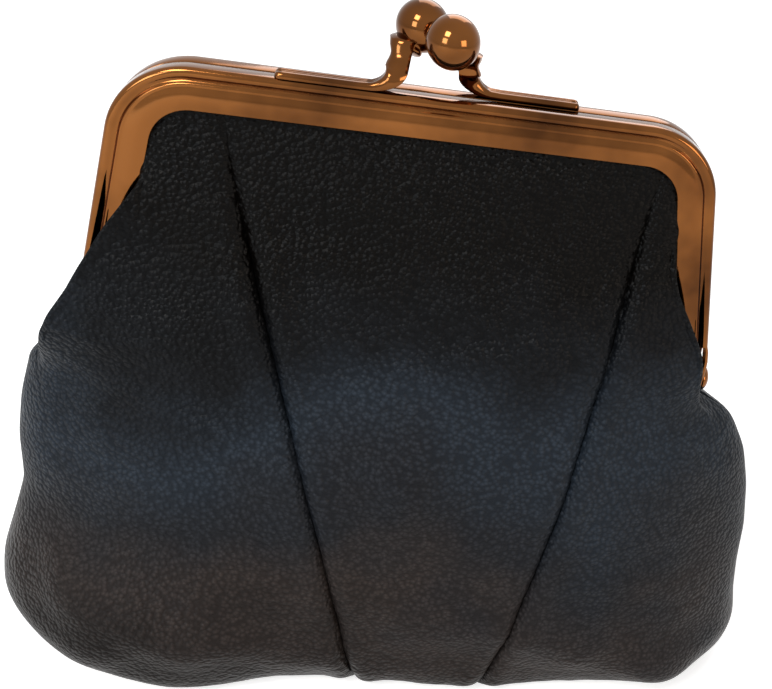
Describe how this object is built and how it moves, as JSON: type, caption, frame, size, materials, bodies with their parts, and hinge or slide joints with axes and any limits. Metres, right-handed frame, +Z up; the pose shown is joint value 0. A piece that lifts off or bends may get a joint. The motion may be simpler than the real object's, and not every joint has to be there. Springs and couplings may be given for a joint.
{
  "type": "kiss lock frame purse",
  "caption": "Small soft leather coin purse on a hinged metal frame that snaps shut with two crossing balls, standing closed.",
  "frame": {"origin": "on the floor, under the middle of the plane where the two frames meet", "axes": "+X along the frame to the viewer's right, -Y out of the front face, +Z up"},
  "size_m": [0.134, 0.042, 0.1215],
  "materials": {
    "nickel_plate": "polished nickel plate on folded steel sheet",
    "black_leather": "satin, fine pebbled grain",
    "lining_cloth": "plain woven lining",
    "paper_cord": "twisted paper"
  },
  "bodies": {
    "pouch": {"front_center_panel": "black_leather", "front_left_panel": "black_leather", "front_right_panel": "black_leather", "rear_center_panel": "black_leather", "rear_left_panel": "black_leather", "rear_right_panel": "black_leather", "front_lining": "lining_cloth", "rear_lining": "lining_cloth"},
    "front_half": {"front_frame": "nickel_plate", "front_clasp_arm": "nickel_plate", "front_clasp_ball": "nickel_plate", "front_paper_cord": "paper_cord", "front_upper_leather": "black_leather", "front_upper_lining": "lining_cloth"},
    "rear_half": {"rear_frame": "nickel_plate", "rear_clasp_arm": "nickel_plate", "rear_clasp_ball": "nickel_plate", "rear_paper_cord": "paper_cord", "rear_upper_leather": "black_leather", "rear_upper_lining": "lining_cloth", "left_hinge_rivet": "nickel_plate", "right_hinge_rivet": "nickel_plate"}
  },
  "joints": [
    {"name": "front_frame_hinge", "type": "hinge", "parent": "pouch", "child": "front_half", "pos_m": [0, 0, 0.064], "axis": [1, 0, 0], "range_deg": [0, 50], "deforming": ["front_clasp_arm", "front_clasp_ball"]},
    {"name": "rear_frame_hinge", "type": "hinge", "parent": "pouch", "child": "rear_half", "pos_m": [0, 0, 0.064], "axis": [1, 0, 0], "range_deg": [-50, 0]}
  ],
  "couplings": [
    {"joint": "rear_frame_hinge", "follows": "front_frame_hinge", "ratio": -1}
  ]
}
